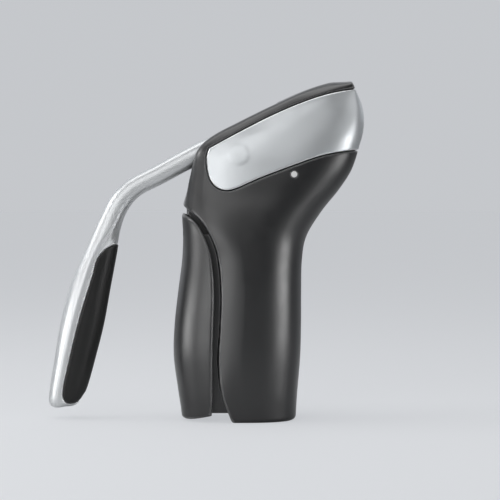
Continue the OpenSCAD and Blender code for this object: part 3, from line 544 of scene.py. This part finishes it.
def shell_field(grid, form, rear):
    """One half of the body and head."""
    edge = outline_field(BODY_EDGE, grid)
    shell = without(both(form, -grid.z, BASE_ROUND), shell_hollow(grid, form, edge))
    shell = both(shell, -edge, EDGE_ROUND)
    shell = without(shell, slot_field(grid), CUT_ROUND)
    shell = without(shell, lead_in_field(grid, form), CUT_ROUND)
    pocket = np.maximum(outline_field(COVER_EDGE, grid) - COVER_GAP, -(form + COVER_T))
    shell = without(shell, pocket, POCKET_ROUND)
    shell = either(shell, groove_lip(grid, form, edge, 0, 0))
    lug_room = strip_field(grid, LUG_FOOT, HINGE_AXIS, LUG_R + LUG_ROOM)
    shell = without(shell, np.maximum(lug_room, np.abs(grid.y) - LUG_ROOM_HALF))
    shell = without(shell, bar_z(grid, (0, 0), PAD_R, BELOW, LEDGE_Z), CUT_ROUND)
    shell = without(shell, bar_z(grid, (0, 0), GUIDE_SEAT_R, 0, TUBE_TOP + 1))
    shell = without(shell, wheel_room(grid, BODY_WHEEL[0], BODY_WHEEL[1] if rear else -BODY_WHEEL[1]))
    shell = without(shell, dot_seat(grid), HOLE_ROUND)
    if rear:
        for x, z, seat in SCREWS:
            shell = without(shell, bar_y(grid, (x, z), SCREW_HEAD_R, seat, BEYOND), CUT_ROUND)
    return both(shell, SEAM_GAP - (grid.y if rear else -grid.y), SEAM_ROUND)


def make_shells(step):
    pieces = []
    for name, rear in (("front_shell_skin", False), ("rear_shell_skin", True)):
        y_span = (-1.2, 28.6) if rear else (-28.6, 1.2)
        grid = Grid((-42.4, 80.4), y_span, (-1.6, 213.4), step)
        pieces.append(surface(name, shell_field(grid, body_form(grid), rear), grid))
    return pieces


# Head cover
def make_cover(step):
    grid = Grid((-22, 80.4), (-26.6, 26.6), (141, 209), step)
    form = body_form(grid)
    from_boss = np.hypot(grid.x - BOSS_AT[0], grid.z - BOSS_AT[1])
    boss = BOSS_RISE * (1 - fade(from_boss, BOSS_R, BOSS_FOOT_R))
    skin = both(form - boss, outline_field(COVER_EDGE, grid), COVER_ROUND)
    skin = without(skin, form + COVER_T - COVER_BACK_GAP)
    return surface("head_cover_skin", skin, grid)


# Squeeze jaw
def make_jaw(step):
    grid = Grid((-42, -8), (-28.6, 28.6), (-1, 140), step)
    form = both(soften(form_field(BODY_RUNGS, grid), BODY_SOFT), -grid.z, BASE_ROUND)
    edge = outline_field(JAW_EDGE, grid)
    wheels = [(JAW_WHEEL[0], y) for y in (-JAW_WHEEL[1], JAW_WHEEL[1])]
    hollow = np.maximum(form + WALL, edge + WALL)
    hollow = without(hollow, box(grid, (PAD_BLOCK_X, -PAD_BLOCK_HALF, 0), (0, PAD_BLOCK_HALF, NECK_DEPTH)))
    for at in wheels:
        hollow = without(hollow, bar_z(grid, at, WHEEL_POST_R, *WHEEL_POST_Z))
    jaw = without(both(form, edge, JAW_ROUND), hollow)
    lug = np.maximum(strip_field(grid, LUG_FOOT, HINGE_AXIS, LUG_R), np.abs(grid.y) - LUG_HALF)
    jaw = either(jaw, lug, LUG_ROUND)
    jaw = without(jaw, groove_lip(grid, form, outline_field(BODY_EDGE, grid), LIP_ROOM, LIP_TRAVEL))
    jaw = without(jaw, bar_z(grid, (JAW_PAD_X, 0), PAD_R, BELOW, NECK_DEPTH), PAD_ROUND)
    jaw = without(jaw, bar_x(grid, SPRING_SEAT, SPRING_SEAT_R, *SPRING_SEAT_X))
    jaw = without(jaw, bar_y(grid, HINGE_AXIS, HINGE_BORE_R, -BEYOND, BEYOND))
    for x, y in wheels:
        jaw = without(jaw, wheel_room(grid, x, y))
    return surface("squeeze_jaw_skin", jaw, grid)


# Lever
def lever_form(grid):
    """Outer form of the lever, with a facet on both sides of the grip."""
    form = soften(form_field(LEVER_RUNGS, grid), LEVER_SOFT) + LEVER_TRIM
    tip = TIP_Z - grid.z + TIP_SLOPE * (grid.x - TIP_X)
    form = both(form, tip + 0 * grid.y, TIP_ROUND)
    form = both(form, end_plane(LEVER_RUNGS, grid), ROOT_ROUND)
    side = np.abs(grid.y)
    facet = np.minimum(np.maximum(-outline_field(FACET_EDGE, grid), 0), FACET_WIDTH)
    form = form + FACET_SLOPE * facet * fade(side, *FACET_Y)
    return soften(form, FACET_SOFT)


def make_lever(step):
    grid = Grid((-121, 1), (-12.4, 12.4), (5, 186), step)
    form = lever_form(grid)
    grip = outline_field(GRIP_EDGE, grid)
    arm = without(form, grip, GRIP_SEAT_ROUND)
    arm = without(arm, np.maximum(outline_field(TANG, grid), np.abs(grid.y) - TANG_HALF))
    for at in RIVETS:
        arm = without(arm, bar_y(grid, at, RIVET_R, -BEYOND, BEYOND), HOLE_ROUND)
    insert = both(form - GRIP_PROUD, grip + GRIP_GAP, GRIP_ROUND)
    return surface("lever_arm_skin", arm, grid), surface("lever_grip_skin", insert, grid)


# Materials
def material(name, build):
    mat = bpy.data.materials.new(name)
    mat.use_nodes = True
    build(mat.node_tree, mat.node_tree.nodes["Principled BSDF"])
    return mat


def noise(tree, scale, detail):
    """Noise in the object's own coordinates, with scale in waves per metre."""
    coords = tree.nodes.new("ShaderNodeTexCoord")
    node = tree.nodes.new("ShaderNodeTexNoise")
    node.inputs["Scale"].default_value = scale
    node.inputs["Detail"].default_value = detail
    tree.links.new(coords.outputs["Object"], node.inputs["Vector"])
    return node.outputs["Fac"]


def ramp(tree, fac, stops):
    """Colours, or greys given as numbers, along a value."""
    node = tree.nodes.new("ShaderNodeValToRGB")
    while len(node.color_ramp.elements) < len(stops):
        node.color_ramp.elements.new(0.5)
    for element, (place, colour) in zip(node.color_ramp.elements, stops):
        element.position = place
        element.color = (*colour, 1) if isinstance(colour, tuple) else (colour, colour, colour, 1)
    tree.links.new(fac, node.inputs["Fac"])
    return node.outputs["Color"]


def bump(tree, shader, height, strength, distance):
    node = tree.nodes.new("ShaderNodeBump")
    node.inputs["Strength"].default_value = strength
    node.inputs["Distance"].default_value = distance
    tree.links.new(height, node.inputs["Height"])
    tree.links.new(node.outputs["Normal"], shader.inputs["Normal"])


def wear_and_highlight_colour(tree, colour, edge_colour, moulded):
    """Colour that turns to another along rounded outer edges, as wear and as a painted highlight line, which
    moulded skins hold as an attribute.
    """
    if moulded:
        attribute = tree.nodes.new("ShaderNodeAttribute")
        attribute.attribute_name = "wear_and_highlight"
        mask = attribute.outputs["Fac"]
    else:
        geometry = tree.nodes.new("ShaderNodeNewGeometry")
        start, full = 0.53, 0.62
        mask = ramp(tree, geometry.outputs["Pointiness"], [(start, 0.0), (full, 1.0)])
    mix = tree.nodes.new("ShaderNodeMix")
    mix.data_type = "RGBA"
    tree.links.new(mask, mix.inputs["Factor"])
    tree.links.new(colour, mix.inputs["A"])
    mix.inputs["B"].default_value = (*edge_colour, 1)
    return mix.outputs["Result"]


def mottle(tree, shader, colours, rough, moulded, colour_scale, rough_scale):
    """Slightly uneven colour and roughness, with wear and a painted highlight along edges."""
    dark, light, edge = colours
    smoothest, roughest = rough - 0.04, rough + 0.05
    colour = ramp(tree, noise(tree, colour_scale, detail=4), [(0.3, dark), (0.7, light)])
    tree.links.new(wear_and_highlight_colour(tree, colour, edge, moulded), shader.inputs["Base Color"])
    roughness = ramp(tree, noise(tree, rough_scale, detail=3), [(0.25, smoothest), (0.75, roughest)])
    tree.links.new(roughness, shader.inputs["Roughness"])


def plastic(*colours, rough, ior=1.42, coat=0.0, moulded=False):
    """Plastic in a dark, a light and an edge colour, for wear and a painted edge highlight."""
    def build(tree, shader):
        shader.inputs["IOR"].default_value = ior
        shader.inputs["Coat Weight"].default_value = coat
        shader.inputs["Coat Roughness"].default_value = rough
        mottle(tree, shader, colours, rough, moulded, colour_scale=30, rough_scale=120)
        bump(tree, shader, noise(tree, scale=900, detail=2), strength=0.12, distance=0.00004)
    return build


def metal(*colours, rough, metallic=1.0, moulded=False):
    """Metal in a dark, a light and an edge colour for wear."""
    def build(tree, shader):
        shader.inputs["Metallic"].default_value = metallic
        mottle(tree, shader, colours, rough, moulded, colour_scale=18, rough_scale=200)
        bump(tree, shader, noise(tree, scale=700, detail=2), strength=0.01, distance=0.00003)
    return build


BUILDS = {
    # The body's light edge colour paints highlight lines along its rounded edges, on top of wear.
    "body_plastic": plastic((0.004, 0.004, 0.005), (0.006, 0.006, 0.007), (0.11, 0.11, 0.112),
                            rough=0.32, ior=1.6, coat=0.8, moulded=True),
    "grip_plastic": plastic((0.013, 0.013, 0.013), (0.018, 0.018, 0.018), (0.03, 0.03, 0.03),
                            rough=0.42, moulded=True),
    "cover_metal": metal((0.77, 0.80, 0.82), (0.79, 0.82, 0.84), (0.9, 0.92, 0.93),
                         rough=0.34, metallic=0.75, moulded=True),
    "lever_metal": metal((0.78, 0.80, 0.815), (0.81, 0.83, 0.84), (0.9, 0.91, 0.92),
                         rough=0.40, metallic=0.8, moulded=True),
    "white_plastic": plastic((0.86, 0.86, 0.84), (0.90, 0.90, 0.88), (0.93, 0.93, 0.92), rough=0.35),
    "inner_plastic": plastic((0.055, 0.057, 0.06), (0.07, 0.072, 0.075), (0.1, 0.1, 0.1), rough=0.5),
    "pad_rubber": plastic((0.03, 0.03, 0.031), (0.042, 0.042, 0.043), (0.06, 0.06, 0.06), rough=0.72),
    "brass": metal((0.45, 0.29, 0.09), (0.55, 0.36, 0.13), (0.65, 0.46, 0.2), rough=0.33),
    "coated_steel": metal((0.05, 0.05, 0.055), (0.065, 0.065, 0.07), (0.3, 0.3, 0.3),
                          rough=0.34, metallic=0.5),
    "steel": metal((0.45, 0.46, 0.47), (0.55, 0.56, 0.57), (0.7, 0.7, 0.7), rough=0.33),
}
LOOKS = {name: material(name, build) for name, build in BUILDS.items()}


def dress(piece, slot):
    piece.data.materials.clear()
    piece.data.materials.append(LOOKS[slot])


# Pieces
NODE_SLOT = {entry["node"]: entry["material_slot"] for entry in frame["record"]["subparts"]}
for node_name, node in frame["nodes"].items():
    dress(node, NODE_SLOT[node_name])

front_skin, rear_skin = make_shells(STEP)
cover_skin = make_cover(STEP)
jaw_skin = make_jaw(STEP)
arm_skin, grip_skin = make_lever(STEP)
for piece, node_name, body in (
    (front_skin, "front_body_shell", "body"), (rear_skin, "rear_body_shell", "body"),
    (cover_skin, "head_cover", "body"), (jaw_skin, "squeeze_jaw", "jaw"),
    (arm_skin, "lever_arm", "lever"), (grip_skin, "lever_grip", "lever"),
):
    dress(piece, NODE_SLOT[node_name])
    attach(piece, body)
    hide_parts(node_name)


# Studio, in metres
BACKDROP = (0.56, 0.575, 0.60, 1)
FLOOR_COLOUR, FLOOR_HALF = (0.78, 0.79, 0.80, 1), 4
FLOOR_GLOW, FLOOR_GLOW_SHARE = 1.5, 0.6
WORLD_LIGHT, CAMERA_SIDE_LIGHT, SIDE_SPAN = 0.45, 0.11, (-0.4, 0.8)
CAMERA_CENTRE, CAMERA_DISTANCE, CAMERA_RISE = Vector((-0.020, 0, 0.106)), 1.25, math.radians(3)
FRAME_WIDTH, FRAME_SHIFT = 0.3136, 0.088
GRID, OPEN = math.radians(50), math.pi
# Softboxes: name, azimuth in degrees, distance, heights, width, level and spread
SOFTBOXES = (
    ("strip_right", 56, 0.6, (0.01, 0.095), 0.32, 10.5, GRID),
    ("wash_right", 60, 0.75, (0.01, 0.12), 0.9, 0.9, GRID),
    ("strip_left", -72, 0.66, (0.01, 0.095), 0.42, 8.2, GRID),
    ("head_left", -88, 0.7, (0.39, 0.58), 0.46, 5, OPEN),
    ("low_left", -30, 0.66, (0.0, 0.10), 0.28, 4, GRID),
    ("panel_low", -48, 0.85, (0.02, 0.34), 1.1, 0.72, OPEN),
    ("panel_left", -20, 0.8, (0.24, 0.85), 0.8, 1.1, OPEN),
    ("panel_right", 55, 0.8, (0.25, 0.8), 0.8, 0.6, OPEN),
)


def maths(tree, operation, *values):
    """Math node whose inputs are sockets or numbers."""
    node = tree.nodes.new("ShaderNodeMath")
    node.operation = operation
    for socket, value in zip(node.inputs, values):
        if isinstance(value, (int, float)):
            socket.default_value = value
        else:
            tree.links.new(value, socket)
    return node.outputs[0]


def floor_material():
    """Pale floor that keeps its shadows, and that the camera sees near the backdrop's colour."""
    mat = bpy.data.materials.new("floor")
    mat.use_nodes = True
    tree = mat.node_tree
    shader = tree.nodes["Principled BSDF"]
    shader.inputs["Base Color"].default_value = FLOOR_COLOUR
    shader.inputs["Roughness"].default_value = 0.75
    glow = tree.nodes.new("ShaderNodeEmission")
    glow.inputs["Color"].default_value = BACKDROP
    glow.inputs["Strength"].default_value = FLOOR_GLOW
    path = tree.nodes.new("ShaderNodeLightPath")
    share = maths(tree, "MULTIPLY", path.outputs["Is Camera Ray"], FLOOR_GLOW_SHARE)
    mix = tree.nodes.new("ShaderNodeMixShader")
    tree.links.new(share, mix.inputs["Fac"])
    tree.links.new(shader.outputs["BSDF"], mix.inputs[1])
    tree.links.new(glow.outputs["Emission"], mix.inputs[2])
    tree.links.new(mix.outputs["Shader"], tree.nodes["Material Output"].inputs["Surface"])
    return mat


def add_floor():
    mesh = bpy.data.meshes.new("studio_floor")
    corners = [(x * FLOOR_HALF, y * FLOOR_HALF, 0) for x, y in ((-1, -1), (1, -1), (1, 1), (-1, 1))]
    mesh.from_pydata(corners, [], [(0, 1, 2, 3)])
    floor = bpy.data.objects.new("studio_floor", mesh)
    floor.data.materials.append(floor_material())
    bpy.context.scene.collection.objects.link(floor)


def add_lamp(name, width, height, level):
    """Area lamp whose level is its radiance straight ahead."""
    light = bpy.data.lights.new(name, "AREA")
    light.shape = "RECTANGLE"
    light.size, light.size_y = width, height
    light.energy = level * math.pi * light.size * light.size_y
    lamp = bpy.data.objects.new(name, light)
    bpy.context.scene.collection.objects.link(lamp)
    return lamp


def add_softbox(name, azimuth, distance, heights, width, level, spread):
    """Upright softbox that faces the worm's axis, where azimuth 0 is the camera's side.

    A spread below that of an open one stands for a grid before it.
    """
    lamp = add_lamp(name, width, heights[1] - heights[0], level)
    if spread < OPEN:
        lamp.data.spread = spread
        lamp.data.energy *= 1 - spread / 2 / math.tan(spread / 2)
    turn = math.radians(azimuth)
    lamp.location = (distance * math.sin(turn), -distance * math.cos(turn), sum(heights) / 2)
    lamp.rotation_euler = (math.radians(90), 0, turn)


def add_lamps():
    for row in SOFTBOXES:
        add_softbox(*row)
    top = add_lamp("softbox_top", width=1.0, height=0.5, level=1.6)
    top.location = (-0.25, 0, 0.9)


def set_world():
    """Backdrop colour for what is seen, and for what is mirrored, where the camera's side is darker.

    As light it is lower.
    """
    world = bpy.data.worlds.new("studio")
    world.use_nodes = True
    tree = world.node_tree
    back = tree.nodes["Background"]
    back.inputs["Color"].default_value = BACKDROP
    path = tree.nodes.new("ShaderNodeLightPath")
    mirrored = maths(tree, "MAXIMUM", path.outputs["Is Glossy Ray"], path.outputs["Is Transmission Ray"])
    coords = tree.nodes.new("ShaderNodeTexCoord")
    axes = tree.nodes.new("ShaderNodeSeparateXYZ")
    tree.links.new(coords.outputs["Generated"], axes.inputs["Vector"])
    side = tree.nodes.new("ShaderNodeMapRange")
    side.interpolation_type = "SMOOTHSTEP"
    side.inputs["From Min"].default_value = SIDE_SPAN[0]
    side.inputs["From Max"].default_value = SIDE_SPAN[1]
    side.inputs["To Min"].default_value = CAMERA_SIDE_LIGHT
    side.inputs["To Max"].default_value = 1.0
    tree.links.new(axes.outputs["Y"], side.inputs["Value"])
    plain = maths(tree, "MULTIPLY_ADD", mirrored, 1 - WORLD_LIGHT, WORLD_LIGHT)
    light = maths(tree, "MULTIPLY", plain, side.outputs["Result"])
    level = maths(tree, "MAXIMUM", path.outputs["Is Camera Ray"], light)
    tree.links.new(level, back.inputs["Strength"])
    bpy.context.scene.world = world


def add_camera():
    camera = bpy.data.cameras.new("camera")
    camera.lens_unit = "FOV"
    camera.angle = 2 * math.atan(FRAME_WIDTH / 2 / CAMERA_DISTANCE)
    camera.shift_x = FRAME_SHIFT
    eye = bpy.data.objects.new("camera", camera)
    towards = Vector((0, -math.cos(CAMERA_RISE), math.sin(CAMERA_RISE)))
    eye.location = CAMERA_CENTRE + CAMERA_DISTANCE * towards
    eye.rotation_euler = (CAMERA_CENTRE - eye.location).to_track_quat("-Z", "Y").to_euler()
    bpy.context.scene.collection.objects.link(eye)
    bpy.context.scene.camera = eye


add_floor()
add_lamps()
set_world()
add_camera()
bpy.context.scene.view_settings.view_transform = "Standard"
